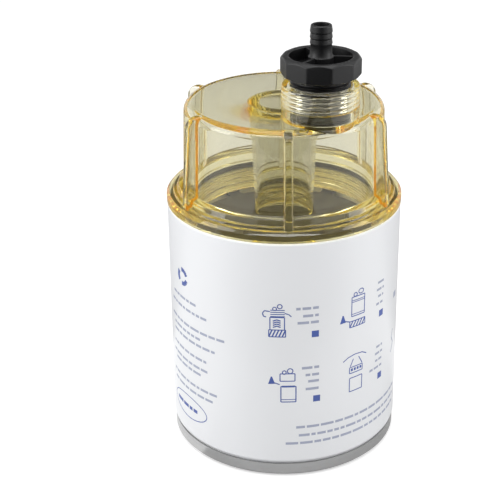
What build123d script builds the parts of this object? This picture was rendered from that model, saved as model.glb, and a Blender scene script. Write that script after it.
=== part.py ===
"""Spin-on fuel and water separator with a see-through collecting bowl and a hand drain valve.

It stands on its mounting end, as it is shown: gasket and seam at the bottom, the painted can above
them, the moulded bowl screwed into the can's mouth, and the drain valve screwed into a boss on the
bowl's end. The origin is on the can's axis, in the plane of the gasket's face, and +Z runs from the
mounting end to the drain. The drain boss lies towards -Y. All sizes are in millimetres.
"""

import os
from math import cos, pi, sin

from build123d import *

# Can, rolled from painted steel sheet
CAN_RADIUS = 47.0
CAN_HEIGHT = 103.0
SHEET = 0.7
SHEET_CREASE = 0.45
HEM_CREASE = 0.4
HEM_GAP = 0.2
NECK_IN = 1.25
NECK_IN_HEIGHT = 1.6
NECK_IN_GAP = 0.3

# Seam cover and mounting gasket
GASKET_SETBACK = 10.1
GASKET_WIDTH = 5.5
GASKET_HEIGHT = 5.2
GASKET_EDGE = 0.4
SEAM_RISE = 0.8
SEAM_HEIGHT = 5.1
SEAM_LEG_GAP = 0.95
GASKET_LIP = 2.4
GASKET_PLAY = 0.1

# End plate with the mounting thread
PLATE_THICKNESS = 3.0
PLATE_PLAY = 1.0
HUB_WALL = 3.75
HUB_HEIGHT = 9.0
MOUNT_BORE_RADIUS = 11.75
MOUNT_BORE_CHAMFER = 0.8
INLET_COUNT = 8
INLET_RADIUS = 3.2
INLET_GAP = 1.9

# Filter element
GROMMET_WALL = 2.9
GROMMET_FLANGE = 2.0
GROMMET_STANDOFF = 4.0
GROMMET_FOOT = 1.6
CAP_THICKNESS = 1.2
CAP_SETBACK = 6.5
CAP_RIM = 4.5
CORE_GAP = 0.5
CORE_WALL = 0.9
CORE_SLOT_WIDTH = 4.2
CORE_SLOT_HEIGHT = 9.0
CORE_SLOT_COLUMNS = 6
CORE_SLOT_ROWS = 5
PLEAT_COUNT = 44
PLEAT_THICKNESS = 0.9
PLEAT_TIP = 2.0
PLEAT_FOLD = 0.2
PLEAT_PLAY = 0.25
CAP_TO_SKIRT = 3.4
PLATEAU_SETBACK = 12.0
PLATEAU_RISE = 2.2
PLATEAU_EDGE = 1.0
LUG_COUNT = 6
LUG_WIDTH = 6.0
LUG_PLAY = 0.3

# Screw joint between can and bowl
NECK_SETBACK = 3.85
NECK_OVERLAP = 1.6
THREAD_PLAY = 0.08
THREAD_DEPTH = 8.1
SKIRT_DEPTH = 11.2
SKIRT_CHAMFER = 0.8
SEAL_SECTION = 1.3
SEAL_SIDES = 8
SEAL_PLAY = 0.08
SEAT_GAP = 0.05

# Bowl moulding
SHOULDER_WIDTH = 6.7
BOWL_WALL = 2.9
BOWL_DRAFT = 1.0
BOWL_RISE = 41.3
BOWL_END_THICKNESS = 3.0
BOWL_END_FILLET = 4.6
BOWL_INNER_CHAMFER = 1.8
FLANGE_OVERHANG = 0.2
FLANGE_HEIGHT = 4.6
FLANGE_EDGE = 0.5
FLANGE_LAND = 0.9
FLANGE_STEP_RISE = 1.3
FLANGE_STEP_RUN = 0.5
FLANGE_SLOPE_RISE = 3.0
RIB_COUNT = 6
RIB_REACH_FOOT = 5.3
RIB_REACH_TOP = 3.9
RIB_THICKNESS = 3.4
RIB_EDGE = 0.6
RIB_CROWN = 4.4
RIB_DROP = 0.2
STANDPIPE_OUTER = 13.5
STANDPIPE_OUTER_FREE = 11.9
STANDPIPE_INNER = 10.3
STANDPIPE_INNER_FREE = 10.5
STANDPIPE_LENGTH = 44.6

# Drain boss and port
BOSS_OVERHANG = 1.1
BOSS_RADIUS = 14.8
BOSS_HEIGHT = 13.2
BOSS_EDGE = 0.6
BOSS_ROOT = 2.4
BOSS_ROOT_HEIGHT = 5.0
BORE_RADIUS = 11.6
BORE_FLOOR = 0.2
PORT_RADIUS = 6.0

# Drain valve
PLUG_PLAY = 0.08
PLUG_SHOULDER_GAP = 0.2
PLUG_NECK = 2.8
NOSE_LENGTH = 4.0
NOSE_PLAY = 0.4
NOSE_SEAL_SECTION = 0.8
NOSE_SEAL_RISE = 1.4
BODY_SEAL_SECTION = 1.3
BODY_SEAL_RISE = 1.9
SEAL_GROOVE_PLAY = 0.15
CROSS_HOLE_RADIUS = 0.55
CROSS_HOLE_RISE = 3.2
KNOB_SIDES = 10
KNOB_RADIUS = 15.2
KNOB_HEIGHT = 8.1
KNOB_CORNER = 0.8
KNOB_CROWN = 1.15
KNOB_BEVEL_RISE = 1.4
KNOB_BEVEL_RUN = 2.1
KNOB_MOUTH = 11.9
KNOB_WELL = 7.6
KNOB_WELL_DEPTH = 16.0
KNOB_SHELF_DEPTH = 5.0
STEM_ROOT_RADIUS = 4.8
STEM_RADIUS = 4.2
STEM_BORE = 2.9
STEM_RISE = 11.6
STEM_EDGE = 0.6
BARB_COUNT = 3
BARB_DEPTH = 0.22
BARB_PITCH = 2.2
BARB_TOP = 2.6
BARB_LAND = 0.4
WEB_COUNT = 3
WEB_THICKNESS = 1.2
WEB_DROP = 0.2
WEB_ANGLE = 83.0

# Heights that follow from the sizes above
SEAM_TOP = SEAM_RISE + SEAM_HEIGHT
PLATE_BOTTOM = GASKET_HEIGHT + SHEET
PLATE_TOP = PLATE_BOTTOM + PLATE_THICKNESS
GROMMET_BOTTOM = PLATE_TOP + GROMMET_STANDOFF
UPPER_CAP_BOTTOM = GROMMET_BOTTOM + GROMMET_FOOT
SKIRT_BOTTOM = CAN_HEIGHT - SKIRT_DEPTH
THREAD_TOP = SKIRT_BOTTOM + THREAD_DEPTH
LOWER_CAP_TOP = SKIRT_BOTTOM - CAP_TO_SKIRT
PACK_BOTTOM = UPPER_CAP_BOTTOM + CAP_THICKNESS
PACK_TOP = LOWER_CAP_TOP - CAP_THICKNESS
NECK_END = LOWER_CAP_TOP + NECK_OVERLAP
FLANGE_BOTTOM = CAN_HEIGHT + SEAT_GAP
FLANGE_TOP = FLANGE_BOTTOM + FLANGE_HEIGHT
BOWL_TOP = FLANGE_BOTTOM + BOWL_RISE
BOWL_CEILING = BOWL_TOP - BOWL_END_THICKNESS
WALL_FOOT = FLANGE_TOP + FLANGE_SLOPE_RISE
BOSS_TOP = BOWL_TOP + BOSS_HEIGHT
BORE_BOTTOM = BOWL_TOP + BORE_FLOOR
PLUG_BOTTOM = BORE_BOTTOM + PLUG_SHOULDER_GAP
KNOB_BOTTOM = BOSS_TOP + PLUG_NECK
KNOB_TOP = KNOB_BOTTOM + KNOB_HEIGHT
KNOB_SHELF = KNOB_TOP - KNOB_SHELF_DEPTH
KNOB_FLOOR = KNOB_TOP - KNOB_WELL_DEPTH
STEM_TOP = KNOB_TOP + STEM_RISE
NOSE_BOTTOM = PLUG_BOTTOM - NOSE_LENGTH
BODY_SEAL_HEIGHT = PLUG_BOTTOM + BODY_SEAL_RISE
NOSE_SEAL_HEIGHT = NOSE_BOTTOM + NOSE_SEAL_RISE

# Radii that follow from the sizes above
CAN_INNER = CAN_RADIUS - SHEET
HEM_RADIUS = CAN_INNER - SHEET - HEM_GAP
NECK_RADIUS = CAN_RADIUS - NECK_SETBACK
GASKET_OUTER = CAN_RADIUS - GASKET_SETBACK
GASKET_INNER = GASKET_OUTER - GASKET_WIDTH
HUB_RADIUS = MOUNT_BORE_RADIUS + HUB_WALL
GROMMET_RADIUS = HUB_RADIUS + GROMMET_WALL
INLET_CIRCLE = GROMMET_RADIUS + INLET_GAP + INLET_RADIUS
CORE_RADIUS = GROMMET_RADIUS + CORE_GAP + CORE_WALL
CAP_RADIUS = CAN_RADIUS - CAP_SETBACK
PLATEAU_RADIUS = CAP_RADIUS - PLATEAU_SETBACK
SKIRT_RADIUS = NECK_RADIUS - THREAD_PLAY
SEAL_GROOVE = HEM_RADIUS - 2 * SEAL_SECTION - 2 * SEAL_PLAY
FLANGE_RADIUS = CAN_RADIUS + FLANGE_OVERHANG
BOWL_WALL_FOOT = CAN_RADIUS - SHOULDER_WIDTH
BOWL_WALL_TOP = BOWL_WALL_FOOT - BOWL_DRAFT
BOWL_INNER = BOWL_WALL_FOOT - BOWL_WALL
BOWL_INNER_TOP = BOWL_INNER - BOWL_DRAFT
BOSS_OFFSET = BOWL_WALL_TOP + BOSS_OVERHANG - BOSS_RADIUS
PLUG_RADIUS = BORE_RADIUS - PLUG_PLAY
BODY_GROOVE = BORE_RADIUS - 2 * BODY_SEAL_SECTION - 2 * SEAL_PLAY
NOSE_RADIUS = PORT_RADIUS - NOSE_PLAY
NOSE_GROOVE = PORT_RADIUS - 2 * NOSE_SEAL_SECTION - 2 * SEAL_PLAY


def ring_section(inner, outer, bottom, top):
    """Rectangle in the XZ plane that makes a plain ring when it is revolved."""
    with BuildSketch(Plane.XZ) as section:
        with Locations((inner, bottom)):
            Rectangle(outer - inner, top - bottom, align=(Align.MIN, Align.MIN))
    return section.sketch


def sheet_section(points, crease):
    """Section of a folded sheet: a centreline with creased corners, half the sheet on each side."""
    path = [Vector(*point) for point in points]
    creased = [path[0]]
    for before, corner, after in zip(path, path[1:], path[2:]):
        creased.append(corner + (before - corner).normalized() * crease)
        creased.append(corner + (after - corner).normalized() * crease)
    creased.append(path[-1])
    left, right = [], []
    for n, point in enumerate(creased):
        along = creased[min(n + 1, len(creased) - 1)] - point
        back = point - creased[max(n - 1, 0)]
        along = (along if along.length > 0 else back).normalized()
        back = (back if back.length > 0 else along).normalized()
        middle = (along + back).normalized()
        reach = SHEET / 2 / middle.dot(along)
        left.append(point + Vector(-middle.Y, middle.X) * reach)
        right.append(point - Vector(-middle.Y, middle.X) * reach)
    with BuildSketch(Plane.XZ) as section:
        Polygon(*left, *reversed(right), align=None)
    return section.sketch


def pleat_outline(inner, outer, root_width, tip_width):
    """Corners of a closed zigzag with a flat tip and a flat root for each pleat."""
    step = 2 * pi / PLEAT_COUNT
    half_tip = tip_width / 2 / outer
    half_root = root_width / 2 / inner
    corners = []
    for n in range(PLEAT_COUNT):
        tip = n * step
        root = (n + 0.5) * step
        for angle in (tip - half_tip, tip + half_tip):
            corners.append((outer * cos(angle), outer * sin(angle)))
        for angle in (root - half_root, root + half_root):
            corners.append((inner * cos(angle), inner * sin(angle)))
    return corners


def o_ring_section(section_radius, ring_radius, height):
    """Section of an O-ring, drawn with flats that touch the round one."""
    with BuildSketch(Plane.XZ) as section:
        with Locations((ring_radius, height)):
            RegularPolygon(section_radius, SEAL_SIDES, major_radius=False, rotation=180 / SEAL_SIDES)
    return section.sketch


# Gasket: square-cut rubber ring, the face that the whole filter stands on
with BuildPart() as mount_gasket:
    add(ring_section(GASKET_INNER, GASKET_OUTER, 0, GASKET_HEIGHT))
    revolve(axis=Axis.Z)
    chamfer(mount_gasket.edges().filter_by(GeomType.CIRCLE), GASKET_EDGE)

# Seam cover: hooks round the can's edge, then steps in to form the groove that holds the gasket
seam_outer_leg = CAN_RADIUS - SHEET
seam_inner_leg = CAN_RADIUS - NECK_IN - SHEET - SEAM_LEG_GAP
seam_floor = SEAM_RISE + SHEET / 2
groove_outer_leg = GASKET_OUTER + GASKET_PLAY + SHEET / 2
groove_inner_leg = GASKET_INNER - GASKET_PLAY - SHEET / 2
groove_floor = GASKET_HEIGHT + SHEET / 2
lip_height = GASKET_LIP + SHEET / 2
with BuildPart() as seam_cover:
    add(
        sheet_section(
            [
                (seam_outer_leg, SEAM_TOP),
                (seam_outer_leg, seam_floor),
                (seam_inner_leg, seam_floor),
                (seam_inner_leg, lip_height),
                (groove_outer_leg, lip_height),
                (groove_outer_leg, groove_floor),
                (groove_inner_leg, groove_floor),
                (groove_inner_leg, lip_height),
            ],
            SHEET_CREASE,
        )
    )
    revolve(axis=Axis.Z)

# Can shell: necked in under the seam cover, straight side, then hem, step and threaded neck
can_wall = CAN_RADIUS - SHEET / 2
can_foot = CAN_RADIUS - NECK_IN - SHEET / 2
hem_leg = HEM_RADIUS + SHEET / 2
step_height = THREAD_TOP - SHEET / 2
neck_leg = NECK_RADIUS + SHEET / 2
with BuildPart() as can_shell:
    add(
        sheet_section(
            [
                (can_foot, SEAM_RISE + SHEET),
                (can_foot, SEAM_TOP + NECK_IN_GAP),
                (can_wall, SEAM_TOP + NECK_IN_GAP + NECK_IN_HEIGHT),
                (can_wall, CAN_HEIGHT - SHEET / 2),
                (hem_leg, CAN_HEIGHT - SHEET / 2),
                (hem_leg, step_height),
                (neck_leg, step_height),
                (neck_leg, NECK_END),
            ],
            HEM_CREASE,
        )
    )
    revolve(axis=Axis.Z)

# End plate: disc with the inlet holes, a shouldered hub and the bored mounting thread
plate_radius = CAN_RADIUS - NECK_IN - SHEET - PLATE_PLAY
hub_top = PLATE_TOP + HUB_HEIGHT
with BuildPart() as end_plate:
    add(ring_section(MOUNT_BORE_RADIUS, plate_radius, PLATE_BOTTOM, PLATE_TOP))
    add(ring_section(MOUNT_BORE_RADIUS, GROMMET_RADIUS, PLATE_BOTTOM, GROMMET_BOTTOM))
    add(ring_section(MOUNT_BORE_RADIUS, HUB_RADIUS, PLATE_BOTTOM, hub_top))
    revolve(axis=Axis.Z)
    with Locations((0, 0, PLATE_BOTTOM)):
        with PolarLocations(INLET_CIRCLE, INLET_COUNT):
            Cylinder(INLET_RADIUS, 3 * PLATE_THICKNESS, mode=Mode.SUBTRACT)
    bore_edges = end_plate.edges().filter_by(GeomType.CIRCLE)
    bore_edges = bore_edges.filter_by(lambda e: abs(e.radius - MOUNT_BORE_RADIUS) < 0.01)
    chamfer(bore_edges, MOUNT_BORE_CHAMFER)

# Grommet: rubber sleeve on the hub, with a foot that the element's cap presses on
with BuildPart() as grommet:
    add(ring_section(HUB_RADIUS, GROMMET_RADIUS + GROMMET_FLANGE, GROMMET_BOTTOM, UPPER_CAP_BOTTOM))
    add(ring_section(HUB_RADIUS, GROMMET_RADIUS, UPPER_CAP_BOTTOM, hub_top))
    revolve(axis=Axis.Z)

# Upper cap: cup with a centre hole, its rim turned towards the pleats
cap_inner = CAP_RADIUS - CAP_THICKNESS
with BuildPart() as upper_cap:
    add(ring_section(GROMMET_RADIUS, CAP_RADIUS, UPPER_CAP_BOTTOM, PACK_BOTTOM))
    add(ring_section(cap_inner, CAP_RADIUS, UPPER_CAP_BOTTOM, PACK_BOTTOM + CAP_RIM))
    revolve(axis=Axis.Z)

# Pleated paper: a closed band folded in and out between the core and the caps' rims
pleat_outer = cap_inner - PLEAT_PLAY
pleat_inner = CORE_RADIUS + PLEAT_PLAY
with BuildPart() as filter_media:
    with BuildSketch(Plane.XY.offset(PACK_BOTTOM)):
        Polygon(
            *pleat_outline(pleat_inner + PLEAT_THICKNESS, pleat_outer, PLEAT_FOLD, PLEAT_TIP),
            align=None,
        )
        Polygon(
            *pleat_outline(pleat_inner, pleat_outer - PLEAT_THICKNESS, PLEAT_TIP, PLEAT_FOLD),
            align=None,
            mode=Mode.SUBTRACT,
        )
    extrude(amount=PACK_TOP - PACK_BOTTOM)

# Core tube: thin tube with rows of punched slots
core_row_pitch = (PACK_TOP - PACK_BOTTOM) / CORE_SLOT_ROWS
with BuildPart() as core_tube:
    add(ring_section(CORE_RADIUS - CORE_WALL, CORE_RADIUS, PACK_BOTTOM, PACK_TOP))
    revolve(axis=Axis.Z)
    for row in range(CORE_SLOT_ROWS):
        with Locations((0, 0, PACK_BOTTOM + (row + 0.5) * core_row_pitch)):
            with PolarLocations(CORE_RADIUS - CORE_WALL / 2, CORE_SLOT_COLUMNS):
                Box(6 * CORE_WALL, CORE_SLOT_WIDTH, CORE_SLOT_HEIGHT, mode=Mode.SUBTRACT)

# Lower cap: closed cup with a raised middle, and lugs that centre it and bear on the can's neck
lug_reach = CAN_INNER - LUG_PLAY
with BuildPart() as lower_cap:
    add(ring_section(0, CAP_RADIUS, PACK_TOP, LOWER_CAP_TOP))
    add(ring_section(cap_inner, CAP_RADIUS, PACK_TOP - CAP_RIM, LOWER_CAP_TOP))
    revolve(axis=Axis.Z)
    with BuildSketch(Plane.XY.offset(LOWER_CAP_TOP)):
        Circle(PLATEAU_RADIUS)
    extrude(amount=PLATEAU_RISE)
    chamfer(lower_cap.edges().group_by(Axis.Z)[-1], PLATEAU_EDGE)
    with PolarLocations(0, LUG_COUNT, start_angle=30):
        with Locations((CAP_RADIUS - CAP_THICKNESS, 0, PACK_TOP)):
            Box(
                lug_reach - CAP_RADIUS + CAP_THICKNESS,
                LUG_WIDTH,
                CAP_THICKNESS,
                align=(Align.MIN, Align.CENTER, Align.MIN),
            )
        with Locations((NECK_RADIUS, 0, PACK_TOP)):
            Box(
                CAP_THICKNESS,
                LUG_WIDTH,
                NECK_END - PACK_TOP,
                align=(Align.MIN, Align.CENTER, Align.MIN),
            )

# Bowl seal: O-ring squeezed between the bowl's groove and the can's hem
seal_ring = SEAL_GROOVE + SEAL_PLAY + SEAL_SECTION
seal_height = FLANGE_BOTTOM - SEAL_PLAY - SEAL_SECTION
with BuildPart() as bowl_seal:
    add(o_ring_section(SEAL_SECTION, seal_ring, seal_height))
    revolve(axis=Axis.Z)

# Bowl, outside: skirt, seal groove, stepped flange, drafted wall and rounded end
land_edge = FLANGE_RADIUS - FLANGE_LAND
step_edge = land_edge - FLANGE_STEP_RUN
step_top = FLANGE_TOP + FLANGE_STEP_RISE
with BuildPart() as bowl:
    with BuildSketch(Plane.XZ) as bowl_outside:
        with BuildLine():
            Polyline(
                (0, SKIRT_BOTTOM),
                (SKIRT_RADIUS, SKIRT_BOTTOM),
                (SKIRT_RADIUS, THREAD_TOP),
                (SEAL_GROOVE, THREAD_TOP),
                (SEAL_GROOVE, FLANGE_BOTTOM),
                (FLANGE_RADIUS, FLANGE_BOTTOM),
                (FLANGE_RADIUS, FLANGE_TOP),
                (land_edge, FLANGE_TOP),
                (step_edge, step_top),
                (BOWL_WALL_FOOT, WALL_FOOT),
                (BOWL_WALL_TOP, BOWL_TOP),
                (0, BOWL_TOP),
                close=True,
            )
        make_face()
        corners = bowl_outside.vertices()
        fillet(corners.sort_by_distance((BOWL_WALL_TOP, BOWL_TOP))[0], BOWL_END_FILLET)
        chamfer(corners.sort_by_distance((FLANGE_RADIUS, FLANGE_TOP))[0], FLANGE_EDGE)
        chamfer(corners.sort_by_distance((FLANGE_RADIUS, FLANGE_BOTTOM))[0], FLANGE_EDGE)
        chamfer(corners.sort_by_distance((SKIRT_RADIUS, SKIRT_BOTTOM))[0], SKIRT_CHAMFER)
    revolve(axis=Axis.Z)

    # Drain boss: a drum on the end wall with a coned root that runs out into the rounded edge
    with Locations((0, -BOSS_OFFSET, BOWL_TOP - BOSS_ROOT_HEIGHT)):
        Cone(
            BOSS_RADIUS - BOSS_ROOT,
            BOSS_RADIUS,
            BOSS_ROOT_HEIGHT,
            align=(Align.CENTER, Align.CENTER, Align.MIN),
        )
    with Locations((0, -BOSS_OFFSET, BOWL_TOP)):
        Cylinder(BOSS_RADIUS, BOSS_HEIGHT, align=(Align.CENTER, Align.CENTER, Align.MIN))
    chamfer(bowl.edges().group_by(Axis.Z)[-1], BOSS_EDGE)

    # Ribs: drafted fins with a rounded crown, standing on the flange and running into the end
    rib_top = BOWL_TOP - RIB_DROP
    rib_root = BOWL_WALL_TOP - 1.0
    rib_crown_root = BOWL_WALL_TOP - BOWL_END_FILLET - 1.0
    with BuildPart(mode=Mode.PRIVATE) as rib:
        with BuildSketch(Plane.XZ) as rib_side:
            Polygon(
                (rib_root, FLANGE_TOP - 1.0),
                (BOWL_WALL_FOOT + RIB_REACH_FOOT, FLANGE_TOP - 1.0),
                (BOWL_WALL_TOP + RIB_REACH_TOP, rib_top),
                (rib_crown_root, rib_top),
                (rib_crown_root, BOWL_CEILING + 1.0),
                (rib_root, BOWL_CEILING + 1.0),
                align=None,
            )
            crown = rib_side.vertices().sort_by_distance((BOWL_WALL_TOP + RIB_REACH_TOP, rib_top))[0]
            fillet(crown, RIB_CROWN)
        extrude(amount=RIB_THICKNESS / 2, both=True)
        rib_edges = rib.faces().group_by(Axis.Y)[0].edges() + rib.faces().group_by(Axis.Y)[-1].edges()
        rib_edges = rib_edges.filter_by(lambda e: e.center().X > BOWL_WALL_TOP)
        rib_edges = rib_edges.filter_by(lambda e: e.center().Z > FLANGE_TOP)
        chamfer(rib_edges, RIB_EDGE)
    with PolarLocations(0, RIB_COUNT):
        add(rib.part)

    # Bowl, inside: one drafted cavity, open at the skirt
    with BuildSketch(Plane.XZ) as bowl_inside:
        with BuildLine():
            Polyline(
                (0, SKIRT_BOTTOM),
                (BOWL_INNER, SKIRT_BOTTOM),
                (BOWL_INNER, FLANGE_TOP),
                (BOWL_INNER_TOP, BOWL_CEILING),
                (0, BOWL_CEILING),
                close=True,
            )
        make_face()
        ceiling_corner = bowl_inside.vertices().sort_by_distance((BOWL_INNER_TOP, BOWL_CEILING))[0]
        chamfer(ceiling_corner, BOWL_INNER_CHAMFER)
    revolve(axis=Axis.Z, mode=Mode.SUBTRACT)

    # Standpipe: drafted tube hanging from the end wall, open at its lower end
    with BuildSketch(Plane.XZ):
        Polygon(
            (STANDPIPE_INNER, BOWL_CEILING + 1.0),
            (STANDPIPE_OUTER, BOWL_CEILING + 1.0),
            (STANDPIPE_OUTER, BOWL_CEILING),
            (STANDPIPE_OUTER_FREE, BOWL_CEILING - STANDPIPE_LENGTH),
            (STANDPIPE_INNER_FREE, BOWL_CEILING - STANDPIPE_LENGTH),
            (STANDPIPE_INNER, BOWL_CEILING),
            align=None,
        )
    revolve(axis=Axis.Z)

    # Bore and port for the drain valve
    with Locations((0, -BOSS_OFFSET, BORE_BOTTOM)):
        Cylinder(
            BORE_RADIUS,
            2 * BOSS_HEIGHT,
            align=(Align.CENTER, Align.CENTER, Align.MIN),
            mode=Mode.SUBTRACT,
        )
        Cylinder(PORT_RADIUS, 4 * BOWL_END_THICKNESS, mode=Mode.SUBTRACT)

# Valve seals: one O-ring in the boss and one in the port
with BuildPart() as valve_seal:
    add(
        o_ring_section(
            BODY_SEAL_SECTION,
            BODY_GROOVE + SEAL_PLAY + BODY_SEAL_SECTION,
            BODY_SEAL_HEIGHT,
        )
    )
    revolve(axis=Axis.Z)
valve_seal.part.position = (0, -BOSS_OFFSET, 0)

with BuildPart() as nose_seal:
    add(
        o_ring_section(
            NOSE_SEAL_SECTION,
            NOSE_GROOVE + SEAL_PLAY + NOSE_SEAL_SECTION,
            NOSE_SEAL_HEIGHT,
        )
    )
    revolve(axis=Axis.Z)
nose_seal.part.position = (0, -BOSS_OFFSET, 0)

# Drain valve: nose, plug, neck and knob turned as one body, with a hollow head round the stem
body_groove_half = BODY_SEAL_SECTION + SEAL_GROOVE_PLAY
nose_groove_half = NOSE_SEAL_SECTION + SEAL_GROOVE_PLAY
stem_core = STEM_RADIUS - BARB_DEPTH
shank_top = STEM_TOP - BARB_TOP - BARB_COUNT * BARB_PITCH + BARB_LAND
with BuildPart() as drain_valve:
    with BuildSketch(Plane.XY.offset(KNOB_BOTTOM)) as knob_outline:
        RegularPolygon(KNOB_RADIUS, KNOB_SIDES)
        fillet(knob_outline.vertices(), KNOB_CORNER)
    extrude(amount=KNOB_HEIGHT)

    # Coned edges turned on the knob, steeper at the top than underneath
    with BuildSketch(Plane.XZ):
        Polygon(
            (KNOB_RADIUS - KNOB_BEVEL_RUN, KNOB_BOTTOM),
            (KNOB_RADIUS + KNOB_BEVEL_RUN, KNOB_BOTTOM),
            (KNOB_RADIUS + KNOB_BEVEL_RUN, KNOB_BOTTOM + 2 * KNOB_BEVEL_RISE),
            align=None,
        )
        Polygon(
            (KNOB_RADIUS - KNOB_CROWN, KNOB_TOP),
            (KNOB_RADIUS + KNOB_CROWN, KNOB_TOP),
            (KNOB_RADIUS + KNOB_CROWN, KNOB_TOP - 2 * KNOB_CROWN),
            align=None,
        )
    revolve(axis=Axis.Z, mode=Mode.SUBTRACT)

    # Nose and plug under the knob, then the well and the wider mouth in its top
    add(ring_section(0, NOSE_RADIUS, NOSE_BOTTOM, PLUG_BOTTOM + 1.0))
    add(ring_section(0, PLUG_RADIUS, PLUG_BOTTOM, KNOB_BOTTOM + 1.0))
    revolve(axis=Axis.Z)
    with Locations((0, 0, KNOB_FLOOR)):
        Cylinder(
            KNOB_WELL,
            KNOB_WELL_DEPTH + 1.0,
            align=(Align.CENTER, Align.CENTER, Align.MIN),
            mode=Mode.SUBTRACT,
        )
    with Locations((0, 0, KNOB_SHELF)):
        Cylinder(
            KNOB_MOUTH,
            KNOB_SHELF_DEPTH + 1.0,
            align=(Align.CENTER, Align.CENTER, Align.MIN),
            mode=Mode.SUBTRACT,
        )

    # Webs between the stem and the knob's mouth
    with BuildSketch(Plane.XY.offset(KNOB_SHELF - 1.0)):
        with PolarLocations(0, WEB_COUNT, start_angle=WEB_ANGLE):
            Rectangle(KNOB_MOUTH + 0.5, WEB_THICKNESS, align=(Align.MIN, Align.CENTER))
    extrude(amount=KNOB_SHELF_DEPTH + 1.0 - WEB_DROP)

    # Stem: root in the well, plain shank for the hose clip, then barbs as wide as the shank
    with BuildSketch(Plane.XZ):
        with Locations((0, KNOB_FLOOR - 1.0)):
            Rectangle(STEM_ROOT_RADIUS, KNOB_WELL_DEPTH + 1.0 - WEB_DROP, align=(Align.MIN, Align.MIN))
            Rectangle(stem_core, STEM_TOP - KNOB_FLOOR + 1.0, align=(Align.MIN, Align.MIN))
            Rectangle(STEM_RADIUS, shank_top - KNOB_FLOOR + 1.0, align=(Align.MIN, Align.MIN))
        for n in range(BARB_COUNT):
            barb = STEM_TOP - BARB_TOP - n * BARB_PITCH
            Polygon(
                (0, barb - BARB_LAND),
                (stem_core, barb - BARB_LAND),
                (STEM_RADIUS, barb),
                (STEM_RADIUS, barb + BARB_LAND),
                (stem_core, barb + BARB_PITCH - BARB_LAND),
                (0, barb + BARB_PITCH - BARB_LAND),
                align=None,
            )
    revolve(axis=Axis.Z)

    # Grooves for the two seals
    add(
        ring_section(
            BODY_GROOVE,
            PLUG_RADIUS + 1.0,
            BODY_SEAL_HEIGHT - body_groove_half,
            BODY_SEAL_HEIGHT + body_groove_half,
        )
    )
    add(
        ring_section(
            NOSE_GROOVE,
            NOSE_RADIUS + 1.0,
            NOSE_SEAL_HEIGHT - nose_groove_half,
            NOSE_SEAL_HEIGHT + nose_groove_half,
        )
    )
    revolve(axis=Axis.Z, mode=Mode.SUBTRACT)

    # Drain passage up the stem, fed by cross holes above the nose seal
    with Locations((0, 0, NOSE_BOTTOM + CROSS_HOLE_RISE)):
        Cylinder(
            STEM_BORE,
            STEM_TOP - NOSE_BOTTOM,
            align=(Align.CENTER, Align.CENTER, Align.MIN),
            mode=Mode.SUBTRACT,
        )
        Cylinder(CROSS_HOLE_RADIUS, 4 * NOSE_RADIUS, rotation=(0, 90, 0), mode=Mode.SUBTRACT)
    fillet(drain_valve.edges().group_by(Axis.Z)[-1].sort_by(SortBy.RADIUS)[-1], STEM_EDGE)
drain_valve.part.position = (0, -BOSS_OFFSET, 0)

os.makedirs("parts", exist_ok=True)
mount_gasket.part.label = "mount_gasket"
export_step(mount_gasket.part, "parts/mount_gasket.step")
seam_cover.part.label = "seam_cover"
export_step(seam_cover.part, "parts/seam_cover.step")
can_shell.part.label = "can_shell"
export_step(can_shell.part, "parts/can_shell.step")
end_plate.part.label = "end_plate"
export_step(end_plate.part, "parts/end_plate.step")
grommet.part.label = "grommet"
export_step(grommet.part, "parts/grommet.step")
upper_cap.part.label = "upper_cap"
export_step(upper_cap.part, "parts/upper_cap.step")
filter_media.part.label = "filter_media"
export_step(filter_media.part, "parts/filter_media.step")
core_tube.part.label = "core_tube"
export_step(core_tube.part, "parts/core_tube.step")
lower_cap.part.label = "lower_cap"
export_step(lower_cap.part, "parts/lower_cap.step")
bowl_seal.part.label = "bowl_seal"
export_step(bowl_seal.part, "parts/bowl_seal.step")
bowl.part.label = "bowl"
export_step(bowl.part, "parts/bowl.step")
valve_seal.part.label = "valve_seal"
export_step(valve_seal.part, "parts/valve_seal.step")
nose_seal.part.label = "nose_seal"
export_step(nose_seal.part, "parts/nose_seal.step")
drain_valve.part.label = "drain_valve"
export_step(drain_valve.part, "parts/drain_valve.step")
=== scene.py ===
"""Looks of the fuel water separator: turned and moulded pieces with their screw threads, print kept to
plain shapes, materials, studio light and the photograph's camera. Shapes are drawn in millimetres and
the scene is in metres.
"""

import math
import random

import bmesh
import bpy
from mathutils import Matrix, Vector


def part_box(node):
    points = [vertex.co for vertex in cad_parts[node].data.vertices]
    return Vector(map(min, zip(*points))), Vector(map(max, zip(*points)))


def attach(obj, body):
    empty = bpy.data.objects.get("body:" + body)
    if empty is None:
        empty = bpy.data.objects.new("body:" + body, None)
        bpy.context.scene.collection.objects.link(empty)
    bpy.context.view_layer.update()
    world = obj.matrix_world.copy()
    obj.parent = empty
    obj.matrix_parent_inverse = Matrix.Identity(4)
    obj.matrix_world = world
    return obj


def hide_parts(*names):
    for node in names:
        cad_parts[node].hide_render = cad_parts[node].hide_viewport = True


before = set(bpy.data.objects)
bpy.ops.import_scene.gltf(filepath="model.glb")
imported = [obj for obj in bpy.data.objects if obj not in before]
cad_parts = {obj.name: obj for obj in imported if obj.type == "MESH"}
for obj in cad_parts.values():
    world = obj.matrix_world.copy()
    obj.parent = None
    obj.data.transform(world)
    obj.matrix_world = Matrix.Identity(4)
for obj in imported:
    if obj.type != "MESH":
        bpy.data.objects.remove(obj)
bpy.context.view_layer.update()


random.seed(7)
MM = 0.001
TURN = 2 * math.pi


def foot(node):
    """Height of a solid's lowest point, in millimetres."""
    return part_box(node)[0].z / MM


def top(node):
    """Height of a solid's highest point, in millimetres."""
    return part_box(node)[1].z / MM


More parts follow.
